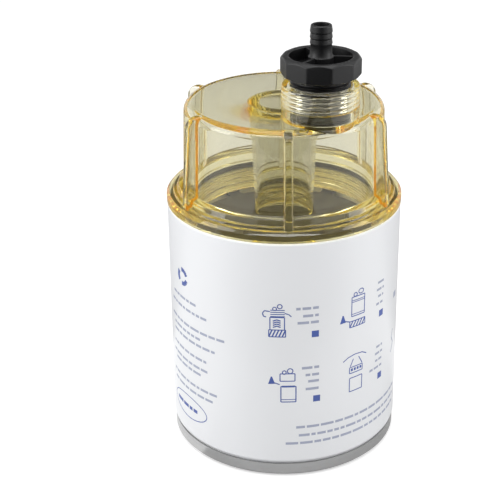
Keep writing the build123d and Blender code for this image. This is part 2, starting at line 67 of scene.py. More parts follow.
# Heights in millimetres, from the solids and the mouldings' own steps
CAN_LOW = foot("can_shell")
CAN_TOP = top("can_shell")
SEAM_TOP = top("seam_cover")
SKIRT_LOW = foot("bowl")
BOSS_TOP = top("bowl")
NOSE_LOW = foot("drain_valve")
STEM_TOP = top("drain_valve")
NECK_LOW = SKIRT_LOW - 1.8
THREAD_TOP = SKIRT_LOW + 8.1
FLANGE_LOW = CAN_TOP + 0.05
FLANGE_TOP = FLANGE_LOW + 4.6
WALL_FOOT = FLANGE_TOP + 4.0
BOWL_TOP = FLANGE_LOW + 41.3
CEILING = BOWL_TOP - 3.0
PIPE_LOW = CEILING - 44.6
BORE_FLOOR = BOWL_TOP + 0.2
PLUG_LOW = NOSE_LOW + 4.0
PLUG_GROOVE = (PLUG_LOW + 0.45, PLUG_LOW + 3.35)
NOSE_GROOVE = (NOSE_LOW + 0.45, NOSE_LOW + 2.35)
CROSS_HOLE = NOSE_LOW + 3.2
KNOB_LOW = BOSS_TOP + 2.8
KNOB_TOP = KNOB_LOW + 8.1
KNOB_SHELF = KNOB_TOP - 5.0
KNOB_FLOOR = KNOB_TOP - 16.0

# Radii and sheet of the can
CAN_R = 47.0
SHEET = 0.7
NECKED_R = CAN_R - 1.25
HEM_R = 45.4
NECK_R = 43.15

# Radii of the bowl
SKIRT_ROOT_R = 42.0
GROOVE_R = 42.64
FLANGE_R = 47.18
LAND_R = 46.1
STEP_R = 44.5
PLINTH_FOOT_R = 42.9
PLINTH_TOP_R = 42.3
WALL_FOOT_R = 40.3
WALL_TOP_R = 39.3
INNER_FOOT_R = 37.4
INNER_TOP_R = 36.4
PIPE_ROOT_R = 13.5
PIPE_END_R = 11.9
PIPE_BORE_R = 10.3
PIPE_BORE_END_R = 10.5
RIB_COUNT = 6
RIB_WIDTH = 3.4
RIB_REACH_FOOT = 5.32
RIB_REACH_TOP = 3.9
RIB_CROWN_R = 4.4
RIB_EDGE_R = 0.75

# Drain boss and valve
BOSS = (0.0, -25.6)
BOSS_R = 14.8
BORE_R = 11.6
PORT_R = 6.0
PLUG_R = 11.52
PLUG_ROOT_R = 10.75
PLUG_GROOVE_R = 8.84
NOSE_R = 5.6
NOSE_GROOVE_R = 4.24
KNOB_SIDES = 10
KNOB_R = 15.2
KNOB_CORNER_CUT = 0.04
BEVEL_R = 13.1
BEVEL_SLOPE = 2 / 3
CROWN_R = 14.05
KNOB_MOUTH_R = 11.9
KNOB_WELL_R = 7.6
STEM_ROOT_R = 4.8
STEM_R = 4.2
STEM_BORE_R = 2.9
BARB_DEPTH = 0.22
BARB_PITCH = 2.2
BARB_COUNT = 3
WEB_ANGLE = 83
WEB_COUNT = 3
WEB_WIDTH = 1.2

# O-rings: radius of the section, and its gap to the groove
LARGE_SEAL = 1.3
SMALL_SEAL = 0.8
SEAL_GAP = 0.08

# Screw threads
BOWL_PITCH = 2.54
DRAIN_PITCH = 1.75
NECK_DEPTH = 0.95
THREAD_GAP = 0.12
STEPS_PER_PITCH = 12


# Shapes
def rounded(points, steps=5):
    """Points (r, z) or (r, z, radius); each with a radius becomes an arc of that radius.

    The first and the last point of an open row have none.
    """
    out = []
    for n, point in enumerate(points):
        corner = Vector(point[:2])
        if len(point) < 3:
            out.append(tuple(corner))
            continue
        before = (Vector(points[n - 1][:2]) - corner).normalized()
        after = (Vector(points[(n + 1) % len(points)][:2]) - corner).normalized()
        half = math.acos(max(-1, min(1, before.dot(after)))) / 2
        centre = corner + (before + after).normalized() * (point[2] / math.sin(half))
        reach = point[2] / math.tan(half)
        first = corner + before * reach - centre
        last = corner + after * reach - centre
        sweep = math.atan2(first.x * last.y - first.y * last.x, first.dot(last))
        for k in range(steps + 1):
            c, s = math.cos(sweep * k / steps), math.sin(sweep * k / steps)
            out.append((centre.x + first.x * c - first.y * s, centre.y + first.x * s + first.y * c))
    return out


def threaded(start, end, radius, pitch, depth, flank=0.7, phase=0.0):
    """Rows of a wall from one height to another with a right-hand thread that fades out at both ends.

    The two flanks take up the given share of the pitch.
    """
    low, high = min(start, end), max(start, end)

    def row(z):
        fade = min(1.0, 2 * (z - low) / pitch, 2 * (high - z) / pitch)

        def place(angle):
            wave = 1 - abs(2 * ((z / pitch - angle / TURN + phase) % 1.0) - 1)
            crest = min(1.0, max(0.0, (wave - (1 - flank) / 2) / flank))
            return radius + depth * fade * crest, z

        return place

    count = round((high - low) / pitch * STEPS_PER_PITCH)
    return [row(start + (end - start) * k / count) for k in range(count + 1)]


def finish_mesh(bm, name):
    """Object of a finished mesh, linked to the scene."""
    bmesh.ops.recalc_face_normals(bm, faces=bm.faces)
    mesh = bpy.data.meshes.new(name)
    bm.to_mesh(mesh)
    bm.free()
    piece = bpy.data.objects.new(name, mesh)
    bpy.context.scene.collection.objects.link(piece)
    return piece


def lathe(name, rows, seg=192, centre=(0.0, 0.0)):
    """Turned solid; a row is (r, z) or a function that gives (r, z) at an angle.

    Rows that start on the axis also end there, and others close into a ring.
    """
    bm = bmesh.new()
    rings = []
    for row in rows:
        ring = []
        for k in range(seg):
            angle = TURN * k / seg
            r, z = row(angle) if callable(row) else row
            spot = Vector((centre[0] + r * math.cos(angle), centre[1] + r * math.sin(angle), z))
            ring.append(bm.verts.new(spot * MM))
        rings.append(ring)
    pairs = list(zip(rings, rings[1:]))
    if rows[0][0] > 0:
        pairs.append((rings[-1], rings[0]))
    for lower, upper in pairs:
        for k in range(seg):
            m = (k + 1) % seg
            bm.faces.new((lower[k], lower[m], upper[m], upper[k]))
    bmesh.ops.remove_doubles(bm, verts=bm.verts, dist=2e-8)
    bmesh.ops.dissolve_degenerate(bm, edges=bm.edges, dist=1e-8)
    return finish_mesh(bm, name)


def slab(name, outline, place, thickness):
    """Flat outline made solid; place(across, up, side) gives a corner in millimetres."""
    bm = bmesh.new()
    near = [bm.verts.new(Vector(place(x, y, -thickness / 2)) * MM) for x, y in outline]
    far = [bm.verts.new(Vector(place(x, y, thickness / 2)) * MM) for x, y in outline]
    bm.faces.new(near)
    bm.faces.new(list(reversed(far)))
    for k in range(len(outline)):
        m = (k + 1) % len(outline)
        bm.faces.new((near[k], far[k], far[m], near[m]))
    return finish_mesh(bm, name)


def upright(angle, centre=(0.0, 0.0)):
    """Place function of a slab that stands on a radius at an angle."""
    c, s = math.cos(angle), math.sin(angle)
    return lambda x, y, side: (centre[0] + x * c - side * s, centre[1] + x * s + side * c, y)


def apply_modifiers(piece):
    """Turns a piece with modifiers into plain mesh."""
    graph = bpy.context.evaluated_depsgraph_get()
    mesh = bpy.data.meshes.new_from_object(piece.evaluated_get(graph))
    piece.modifiers.clear()
    piece.data = mesh


def combine(piece, other, operation):
    """Adds or cuts another piece and throws the other away."""
    modifier = piece.modifiers.new("combine", "BOOLEAN")
    modifier.operation = operation
    modifier.solver = "EXACT"
    modifier.object = other
    apply_modifiers(piece)
    bpy.data.objects.remove(other)


def smooth(piece, angle):
    """Soft shading, with a crisp edge where faces meet at more than the angle in degrees."""
    for face in piece.data.polygons:
        face.use_smooth = True
    piece.data.set_sharp_from_angle(angle=math.radians(angle))


# Materials; DULL is the gloss of the black pieces, and the MIX values are the colour sockets of a mix node
DULL = 0.33
GRAIN_DEPTH = 0.0002
NOISE_LOW, NOISE_HIGH = 0.3, 0.7
MIX_LOW, MIX_HIGH, MIX_RESULT = 6, 7, 2


def material(name, color, rough, metal=0.0, gloss=0.5):
    """Plain material, before its changes of shade and relief are added."""
    mat = bpy.data.materials.new(name)
    mat.use_nodes = True
    bsdf = mat.node_tree.nodes["Principled BSDF"]
    bsdf.inputs["Base Color"].default_value = (*color, 1)
    bsdf.inputs["Roughness"].default_value = rough
    bsdf.inputs["Metallic"].default_value = metal
    bsdf.inputs["Specular IOR Level"].default_value = gloss
    return mat


def noise_node(tree, scale, detail, stretch=(1, 1, 1)):
    """Noise fixed to the piece, drawn together along an axis by its stretch."""
    coord = tree.nodes.new("ShaderNodeTexCoord")
    mapping = tree.nodes.new("ShaderNodeMapping")
    mapping.inputs["Scale"].default_value = stretch
    tree.links.new(coord.outputs["Object"], mapping.inputs["Vector"])
    noise = tree.nodes.new("ShaderNodeTexNoise")
    noise.inputs["Scale"].default_value = scale
    noise.inputs["Detail"].default_value = detail
    tree.links.new(mapping.outputs["Vector"], noise.inputs["Vector"])
    return noise


def vary(mat, scale, amount, rough, stretch=(1, 1, 1)):
    """Slow changes of roughness between two values, and of shade by a share of the colour."""
    tree = mat.node_tree
    bsdf = tree.nodes["Principled BSDF"]
    noise = noise_node(tree, scale, 4, stretch)
    if amount:
        base = bsdf.inputs["Base Color"].default_value
        mix = tree.nodes.new("ShaderNodeMix")
        mix.data_type = "RGBA"
        mix.inputs[MIX_LOW].default_value = [c * (1 - amount) for c in base[:3]] + [1]
        mix.inputs[MIX_HIGH].default_value = [min(1, c * (1 + amount)) for c in base[:3]] + [1]
        tree.links.new(noise.outputs["Fac"], mix.inputs[0])
        tree.links.new(mix.outputs[MIX_RESULT], bsdf.inputs["Base Color"])
    span = tree.nodes.new("ShaderNodeMapRange")
    span.inputs["From Min"].default_value = NOISE_LOW
    span.inputs["From Max"].default_value = NOISE_HIGH
    span.inputs["To Min"].default_value = rough[0]
    span.inputs["To Max"].default_value = rough[1]
    tree.links.new(noise.outputs["Fac"], span.inputs["Value"])
    tree.links.new(span.outputs["Result"], bsdf.inputs["Roughness"])


def grain(mat, scale, strength):
    """Fine relief."""
    tree = mat.node_tree
    noise = noise_node(tree, scale, 3)
    relief = tree.nodes.new("ShaderNodeBump")
    relief.inputs["Strength"].default_value = strength
    relief.inputs["Distance"].default_value = GRAIN_DEPTH
    tree.links.new(noise.outputs["Fac"], relief.inputs["Height"])
    tree.links.new(relief.outputs["Normal"], tree.nodes["Principled BSDF"].inputs["Normal"])


def pass_lamps(mat):
    """Lets the lamps shine straight through a see-through surface."""
    tree = mat.node_tree
    path = tree.nodes.new("ShaderNodeLightPath")
    open_face = tree.nodes.new("ShaderNodeBsdfTransparent")
    open_face.inputs["Color"].default_value = (1, 1, 1, 1)
    either = tree.nodes.new("ShaderNodeMixShader")
    tree.links.new(path.outputs["Is Shadow Ray"], either.inputs[0])
    tree.links.new(tree.nodes["Principled BSDF"].outputs[0], either.inputs[1])
    tree.links.new(open_face.outputs[0], either.inputs[2])
    tree.links.new(either.outputs[0], tree.nodes["Material Output"].inputs["Surface"])


def clear_plastic():
    """See-through plastic, water-clear in a thin wall and golden along a thick edge."""
    mat = material("bowl_clear", (0.77, 0.77, 0.755), 0.02)
    vary(mat, 40, 0, (0.01, 0.03))
    tree = mat.node_tree
    bsdf = tree.nodes["Principled BSDF"]
    bsdf.inputs["IOR"].default_value = 1.5
    bsdf.inputs["Transmission Weight"].default_value = 1.0
    pass_lamps(mat)
    tint = tree.nodes.new("ShaderNodeVolumeAbsorption")
    tint.inputs["Color"].default_value = (0.98, 0.86, 0.12, 1)
    tint.inputs["Density"].default_value = 50.0
    haze = tree.nodes.new("ShaderNodeVolumeScatter")
    haze.inputs["Color"].default_value = (1.0, 0.86, 0.45, 1)
    haze.inputs["Density"].default_value = 4.0
    both = tree.nodes.new("ShaderNodeAddShader")
    tree.links.new(tint.outputs["Volume"], both.inputs[0])
    tree.links.new(haze.outputs["Volume"], both.inputs[1])
    tree.links.new(both.outputs[0], tree.nodes["Material Output"].inputs["Volume"])
    return mat


white_paint = material("white_paint", (0.80, 0.81, 0.83), 0.32)
vary(white_paint, 14, 0, (0.29, 0.36))
grain(white_paint, 900, 0.03)

zinc = material("zinc", (0.46, 0.46, 0.46), 0.35, metal=1.0)
vary(zinc, 60, 0.08, (0.29, 0.44), stretch=(1, 1, 9))
grain(zinc, 400, 0.15)

bare_steel = material("bare_steel", (0.46, 0.45, 0.44), 0.4, metal=1.0)
vary(bare_steel, 50, 0.12, (0.3, 0.5))
grain(bare_steel, 400, 0.15)

gold_lacquer = material("gold_lacquer", (0.96, 0.91, 0.72), 0.4)
vary(gold_lacquer, 50, 0.05, (0.34, 0.48))
grain(gold_lacquer, 400, 0.08)

rubber = material("rubber", (0.008, 0.008, 0.008), 0.5, gloss=DULL)
vary(rubber, 90, 0.25, (0.45, 0.65))
grain(rubber, 720, 0.1)

dark_cap = material("dark_cap", (0.030, 0.027, 0.024), 0.4)
vary(dark_cap, 40, 0.25, (0.3, 0.5))
grain(dark_cap, 320, 0.1)

black_plastic = material("black_plastic", (0.007, 0.007, 0.0075), 0.38, gloss=DULL)
vary(black_plastic, 70, 0.15, (0.32, 0.44))
grain(black_plastic, 1500, 0.08)

paper = material("paper", (0.78, 0.62, 0.38), 0.85)
vary(paper, 60, 0.12, (0.8, 0.9))
grain(paper, 480, 0.2)

print_blue = material("print_blue", (0.060, 0.105, 0.36), 0.4)
vary(print_blue, 60, 0.15, (0.34, 0.5))

print_grey = material("print_grey", (0.36, 0.39, 0.50), 0.4)
vary(print_grey, 60, 0.10, (0.34, 0.5))

bowl_clear = clear_plastic()


def dress(piece, mat, body, node=None):
    """Gives a piece its material and the body it moves with, and hides the solid it stands for."""
    piece.data.materials.clear()
    piece.data.materials.append(mat)
    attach(piece, body)
    if node:
        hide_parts(node)


# Bowl
def bowl_moulding():
    """Turned body of the bowl: end, drafted wall, flange, threaded skirt, cavity and standpipe."""
    chamfer = 0.8
    rows = rounded(
        [
            (0, BOWL_TOP),
            (WALL_TOP_R, BOWL_TOP, 3.8),
            (WALL_FOOT_R, WALL_FOOT, 0.4),
            (PLINTH_TOP_R, WALL_FOOT - 0.8, 0.4),
            (PLINTH_FOOT_R, FLANGE_TOP + 1.1, 0.4),
            (STEP_R - 0.3, FLANGE_TOP + 0.8, 0.3),
            (STEP_R, FLANGE_TOP, 0.2),
            (LAND_R, FLANGE_TOP, 0.3),
            (FLANGE_R, FLANGE_TOP - 1.3, 0.4),
            (FLANGE_R, FLANGE_LOW, 0.9),
            (GROOVE_R, FLANGE_LOW),
            (GROOVE_R, THREAD_TOP),
        ],
        6,
    )
    depth = NECK_R - SKIRT_ROOT_R - THREAD_GAP
    rows += threaded(THREAD_TOP, SKIRT_LOW + chamfer, SKIRT_ROOT_R, BOWL_PITCH, depth)
    rows += rounded(
        [
            (SKIRT_ROOT_R - chamfer, SKIRT_LOW),
            (INNER_FOOT_R, SKIRT_LOW, 0.6),
            (INNER_FOOT_R, FLANGE_TOP, 8.0),
            (INNER_TOP_R, CEILING, 1.0),
            (PIPE_ROOT_R, CEILING, 1.0),
            (PIPE_END_R, PIPE_LOW, 0.35),
            (PIPE_BORE_END_R, PIPE_LOW, 0.35),
            (PIPE_BORE_R, CEILING, 0.8),
            (0, CEILING),
        ],
        6,
    )
    return lathe("bowl_moulding", rows, 240)


def rib(angle):
    """Drafted fin with a rounded crown and soft edges, standing on the flange and sunk into the walls."""
    low = FLANGE_TOP - RIB_EDGE_R
    high = BOWL_TOP - 0.2
    root = CEILING + 0.85
    in_wall, in_end = WALL_FOOT_R - 2, WALL_TOP_R - 5.6
    side = rounded(
        [
            (in_wall, low),
            (WALL_FOOT_R + RIB_REACH_FOOT, low),
            (WALL_TOP_R + RIB_REACH_TOP, high, RIB_CROWN_R),
            (in_end, high),
            (in_end, root),
            (in_wall, root),
        ],
        8,
    )
    piece = slab("rib", side, upright(angle), RIB_WIDTH)
    edge = piece.modifiers.new("edge", "BEVEL")
    edge.width = RIB_EDGE_R * MM
    edge.segments = 3
    edge.limit_method = "ANGLE"
    edge.angle_limit = math.radians(60)
    apply_modifiers(piece)
    return piece


def boss():
    """Drum for the drain valve, with a coned root in the end wall."""
    root = CEILING + 0.3
    rows = [
        (0, BOSS_TOP),
        (BOSS_R, BOSS_TOP, 0.7),
        (BOSS_R, BOWL_TOP, 3.0),
        (BOSS_R - 1.4, root),
        (0, root),
    ]
    return lathe("boss", rounded(rows), 144, BOSS)


def bore():
    """Threaded hole of the boss, with a plain seat for the seal under the thread."""
    lead_in = 0.4
    seat_top = PLUG_LOW + 3.6
    past = BOSS_TOP + 1
    rows = [(0, BORE_FLOOR), (BORE_R, BORE_FLOOR)]
    rows += threaded(seat_top, BOSS_TOP - lead_in, BORE_R, DRAIN_PITCH, 0.85, 0.8)
    rows += [(BORE_R + lead_in, BOSS_TOP + 0.05), (BORE_R + lead_in, past), (0, past)]
    return lathe("bore", rows, 144, BOSS)


def port():
    """Plain hole through the boss's foot for the valve's nose."""
    low, high = NOSE_LOW - 3, BOWL_TOP + 2
    return lathe("port", [(0, low), (PORT_R, low), (PORT_R, high), (0, high)], 96, BOSS)


def build_bowl():
    """Bowl as one clear moulding, with its ribs, boss and holes."""
    bowl = bowl_moulding()
    for n in range(RIB_COUNT):
        combine(bowl, rib(TURN * n / RIB_COUNT), "UNION")
    combine(bowl, boss(), "UNION")
    combine(bowl, bore(), "DIFFERENCE")
    combine(bowl, port(), "DIFFERENCE")
    smooth(bowl, 30)
    dress(bowl, bowl_clear, "bowl", "bowl")


# Seals
def middle(groove):
    """Height of a groove's middle."""
    return (groove[0] + groove[1]) / 2


def build_seal(name, node, body, section, groove, height, centre=(0.0, 0.0)):
    """Round O-ring in the place of a solid, lying loose round the groove's radius."""
    steps = 20
    ring = groove + section + SEAL_GAP
    rows = []
    for k in range(steps):
        turn = TURN * k / steps
        rows.append((ring + section * math.cos(turn), height + section * math.sin(turn)))
    piece = lathe(name, rows, 160, centre)
    smooth(piece, 60)
    dress(piece, rubber, body, node)


def build_seals():
    """The three O-rings, which lift with the pieces that turn."""
    under_flange = FLANGE_LOW - LARGE_SEAL - SEAL_GAP
    build_seal("bowl_o_ring", "bowl_seal", "bowl_thread", LARGE_SEAL, GROOVE_R, under_flange)
    plug = (LARGE_SEAL, PLUG_GROOVE_R, middle(PLUG_GROOVE), BOSS)
    build_seal("valve_o_ring", "valve_seal", "valve_thread", *plug)
    nose = (SMALL_SEAL, NOSE_GROOVE_R, middle(NOSE_GROOVE), BOSS)
    build_seal("nose_o_ring", "nose_seal", "valve_thread", *nose)


# Drain valve
def knob_side(angle):
    """Distance from the knob's middle to its ten-sided outline."""
    step = TURN / KNOB_SIDES
    flat = KNOB_R * math.cos(step / 2)
    return min(flat / math.cos(angle % step - step / 2), KNOB_R - KNOB_CORNER_CUT)


def bevel(r):
    """Height of the coned edge under the knob."""
    return KNOB_LOW + max(0.0, r - BEVEL_R) * BEVEL_SLOPE


def crown(r):
    """Height of the coned edge on top of the knob."""
    return KNOB_TOP - max(0.0, r - CROWN_R)


def knob_row(cone, inward, lift):
    """Row along the knob's outline where a cone meets it, set in and lifted a little."""

    def place(angle):
        r = knob_side(angle) - inward
        return r, cone(r) + lift

    return place


def valve_rows():
    """Rows of the valve from its nose up over the knob and down the well, then up the stem."""
    soft, softer = 0.05, 0.3
    rows = rounded(
        [
            (0, NOSE_LOW),
            (NOSE_R, NOSE_LOW, 0.4),
            (NOSE_R, NOSE_GROOVE[0]),
            (NOSE_GROOVE_R, NOSE_GROOVE[0], 0.2),
            (NOSE_GROOVE_R, NOSE_GROOVE[1], 0.2),
            (NOSE_R, NOSE_GROOVE[1]),
            (NOSE_R, PLUG_LOW, 0.3),
            (PLUG_R, PLUG_LOW, 0.35),
            (PLUG_R, PLUG_GROOVE[0]),
            (PLUG_GROOVE_R, PLUG_GROOVE[0], 0.3),
            (PLUG_GROOVE_R, PLUG_GROOVE[1], 0.3),
            (PLUG_R - 0.1, PLUG_GROOVE[1]),
        ],
        4,
    )
    rows += threaded(PLUG_GROOVE[1] + 0.25, KNOB_LOW - 0.8, PLUG_ROOT_R, DRAIN_PITCH, 0.75, 0.8, 0.5)
    rows += [(PLUG_R - 0.2, KNOB_LOW - 0.6), (PLUG_R - 0.2, KNOB_LOW), (BEVEL_R - softer, KNOB_LOW)]
    rows += [knob_row(bevel, softer, 0), knob_row(bevel, soft, soft), knob_row(bevel, 0, softer)]
    rows += [knob_row(crown, 0, -softer), knob_row(crown, soft, -soft), knob_row(crown, softer, 0)]
    rows += rounded(
        [
            (CROWN_R - softer, KNOB_TOP),
            (KNOB_MOUTH_R, KNOB_TOP, 0.3),
            (KNOB_MOUTH_R, KNOB_SHELF, 0.4),
            (KNOB_WELL_R, KNOB_SHELF, 0.4),
            (KNOB_WELL_R, KNOB_FLOOR, 0.4),
            (STEM_ROOT_R, KNOB_FLOOR, 0.4),
            (STEM_ROOT_R, KNOB_TOP - 0.4),
            (STEM_R, KNOB_TOP + 0.4),
        ],
        4,
    )
    barb_core = STEM_R - BARB_DEPTH
    for n in reversed(range(BARB_COUNT)):
        barb = STEM_TOP - 2.6 - n * BARB_PITCH
        rows += [(barb_core, barb - 0.4), (STEM_R, barb), (STEM_R, barb + 0.4)]
        rows += [(barb_core, barb + BARB_PITCH - 0.4)]
    rows += rounded(
        [
            (barb_core, STEM_TOP - 0.7),
            (barb_core, STEM_TOP, 0.6),
            (STEM_BORE_R, STEM_TOP, 0.25),
            (STEM_BORE_R, CROSS_HOLE),
            (0, CROSS_HOLE),
        ],
        4,
    )
    return rows


def build_valve():
    """Valve with the webs round its stem and the cross hole through its nose."""
    valve = lathe("drain_valve_moulding", valve_rows(), 240, BOSS)
    near, far = STEM_R - 0.5, KNOB_MOUTH_R + 0.4
    low, high = KNOB_SHELF - 0.95, KNOB_TOP - 0.2
    outline = [(near, low), (far, low), (far, high), (near, high)]
    for n in range(WEB_COUNT):
        place = upright(math.radians(WEB_ANGLE + 360 / WEB_COUNT * n), BOSS)
        combine(valve, slab("web", outline, place, WEB_WIDTH), "UNION")
    hole = lathe("cross_hole", [(0, -8), (0.55, -8), (0.55, 8), (0, 8)], 24)
    centre = Vector((*BOSS, CROSS_HOLE)) * MM
    hole.data.transform(Matrix.Translation(centre) @ Matrix.Rotation(math.pi / 2, 4, "Y"))
    combine(valve, hole, "DIFFERENCE")
    smooth(valve, 35)
    dress(valve, black_plastic, "drain_valve", "drain_valve")


# Can
def build_can():
    """Rolled sheet with a necked-in foot, a hem and a rolled thread; painted outside, golden inside."""
    inner_r = CAN_R - SHEET
    neck_outer_r = NECK_R + SHEET
    rows = rounded(
        [
            (NECKED_R - SHEET, CAN_LOW),
            (NECKED_R, CAN_LOW),
            (NECKED_R, SEAM_TOP + 0.15, 0.5),
            (CAN_R, SEAM_TOP + 1.7, 0.9),
            (CAN_R, CAN_TOP, 0.75),
            (HEM_R, CAN_TOP, 0.75),
            (HEM_R, THREAD_TOP, 0.25),
            (NECK_R, THREAD_TOP, 0.4),
        ],
        6,
    )
    rows += threaded(THREAD_TOP - 0.5, NECK_LOW, NECK_R, BOWL_PITCH, NECK_DEPTH)
    rows += threaded(NECK_LOW, THREAD_TOP - 0.8, neck_outer_r, BOWL_PITCH, NECK_DEPTH)
    rows += rounded(
        [
            (neck_outer_r, THREAD_TOP - SHEET, 0.2),
            (HEM_R + SHEET, THREAD_TOP - SHEET, 0.4),
            (HEM_R + SHEET, CAN_TOP - SHEET, 0.05),
            (inner_r, CAN_TOP - SHEET),
            (inner_r, SEAM_TOP + 1.9),
            (NECKED_R - SHEET, SEAM_TOP + 0.4),
        ],
        4,
    )
    can = lathe("can_sheet", rows, 288)
    smooth(can, 40)
    dress(can, white_paint, "filter", "can_shell")
    can.data.materials.append(gold_lacquer)
    for face in can.data.polygons:
        radius = math.hypot(face.center.x, face.center.y) / MM
        facing_out = face.normal.x * face.center.x + face.normal.y * face.center.y > 0
        on_rim = radius > HEM_R - 0.1 and face.center.z / MM > CAN_TOP - 0.3
        painted = on_rim or (facing_out and radius > NECKED_R - 0.3)
        face.material_index = 0 if painted else 1


# Print on the can, kept to dashes, boxes, rings and plain sketches, with its places in degrees round the
# can from the camera's side, which is turned by FACING from -Y, and in millimetres of height
INK_R = CAN_R + 0.03
FACING = 32.2
PATCH_STEP = 1.5
DASH_GAP = 0.9
DASH_LENGTHS = (2.0, 7.0)


def on_can(azimuth, z):
    """Point on the can, in metres."""
    turn = math.radians(azimuth - FACING)
    return (INK_R * math.sin(turn) * MM, -INK_R * math.cos(turn) * MM, z * MM)


ink = {"blue": bmesh.new(), "grey": bmesh.new()}


def patch(color, corners):
    """Flat patch of ink laid round the can, split so that it follows the curve."""
    bm = ink[color]
    (a0, z0), (a1, z1), (a2, z2), (a3, z3) = corners
    count = int(abs(a1 - a0) / PATCH_STEP) + 1
    low, high = [], []
    for k in range(count + 1):
        t = k / count
        low.append(bm.verts.new(on_can(a0 + (a1 - a0) * t, z0 + (z1 - z0) * t)))
        high.append(bm.verts.new(on_can(a3 + (a2 - a3) * t, z3 + (z2 - z3) * t)))
    for k in range(count):
        bm.faces.new((low[k], low[k + 1], high[k + 1], high[k]))


def box(color, a0, z0, a1, z1):
    """Filled upright box."""
    patch(color, [(a0, z0), (a1, z0), (a1, z1), (a0, z1)])


def stroke(color, points, width):
    """Line of ink through points (azimuth, z)."""
    degrees = math.degrees(1 / CAN_R)
    for (a0, z0), (a1, z1) in zip(points, points[1:]):
        along = Vector(((a1 - a0) / degrees, z1 - z0)).normalized()
        da, dz = -along.y * width / 2 * degrees, along.x * width / 2
        patch(color, [(a0 - da, z0 - dz), (a1 - da, z1 - dz), (a1 + da, z1 + dz), (a0 + da, z0 + dz)])


def frame_lines(a0, z0, a1, z1, width=0.4):
    """Outline of an upright box."""
    stroke("blue", [(a0, z0), (a1, z0), (a1, z1), (a0, z1), (a0, z0)], width)


def ring(a, z, across, high, width=0.4, start=0, sweep=360, count=28):
    """Oval line, or a stretch of one, with its half sizes in degrees and millimetres."""
    points = []
    for k in range(count + 1):
        turn = math.radians(start + sweep * k / count)
        points.append((a + across * math.cos(turn), z + high * math.sin(turn)))
    stroke("blue", points, width)


def dashes(rows, height, color="grey"):
    """Rows (from, to, z) of plain dashes of uneven length in the place of small print."""
    for start, end, z in rows:
        a = start
        while a < end - 1.0:
            length = min(random.uniform(*DASH_LENGTHS), end - a)
            box(color, a, z - height / 2, a + length, z + height / 2)
            a += length + DASH_GAP


def hatched(a0, z0, a1, z1):
    """Box filled with slanting lines."""
    frame_lines(a0, z0, a1, z1)
    lines = 5
    for k in range(lines):
        low = a0 + (a1 - a0) * k / lines
        high = a0 + (a1 - a0) * (k + 1) / lines
        stroke("blue", [(low, z0), (high, z1)], 0.55)


def funnel(a, z):
    """Solid triangle with a short spout."""
    patch("blue", [(a - 1.6, z - 1.5), (a + 1.7, z - 1.3), (a + 0.3, z + 1.9), (a - 0.3, z + 1.9)])
    stroke("blue", [(a + 1.2, z - 0.8), (a + 3.9, z - 1.6)], 0.45)


def print_left_text():
    """Dashes in the place of the lines at the left."""
    dashes([(-69.9, -46.5, 69.6), (-72.5, -40.3, 65.4)], 1.1)
    dashes([(-73.2, -29.7, 58.5), (-70.4, -45.1, 55.2), (-70.9, -35.3, 52.1)], 1.1)
    dashes([(-71.9, -41.1, 46.1), (-72.7, -39.6, 41.8), (-69.4, -45.4, 39.0)], 1.1)
    dashes([(-73.0, -34.8, 32.4), (-72.2, -36.1, 28.9)], 1.1)


def print_right_text():
    """Dashes and small boxes in the place of the lines under and beside the sketches."""
    dashes([(5.9, 75.6, 23.2), (7.2, 74.7, 19.4), (0.8, 73.9, 15.8)], 1.1)
    dashes([(5.7, 16.4, 76.0), (8.9, 16.4, 72.8), (6.3, 16.5, 69.9)], 1.1)
    dashes([(8.5, 16.9, 50.0), (10.3, 16.9, 46.8), (11.6, 16.9, 43.9), (10.4, 17.2, 40.5)], 1.1)
    dashes([(51.6, 56.7, 78.4), (50.8, 57.0, 75.4), (52.0, 56.6, 72.4), (50.6, 57.5, 69.2)], 1.0)
    dashes([(51.8, 57.1, 49.6), (50.9, 57.4, 46.6), (51.2, 57.0, 43.4), (46.8, 57.2, 40.2)], 1.0)
    for a, z in ((13.1, 63.3), (14.1, 34.4), (53.3, 62.9), (53.7, 34.2)):
        box("blue", a, z, a + 3.5, z + 2.8)
    box("grey", 70.2, 65.0, 74.2, 67.6)
    stroke("grey", [(70.6, 51.0), (69.2, 47.5), (71.6, 44.6), (68.8, 40.6)], 0.7)


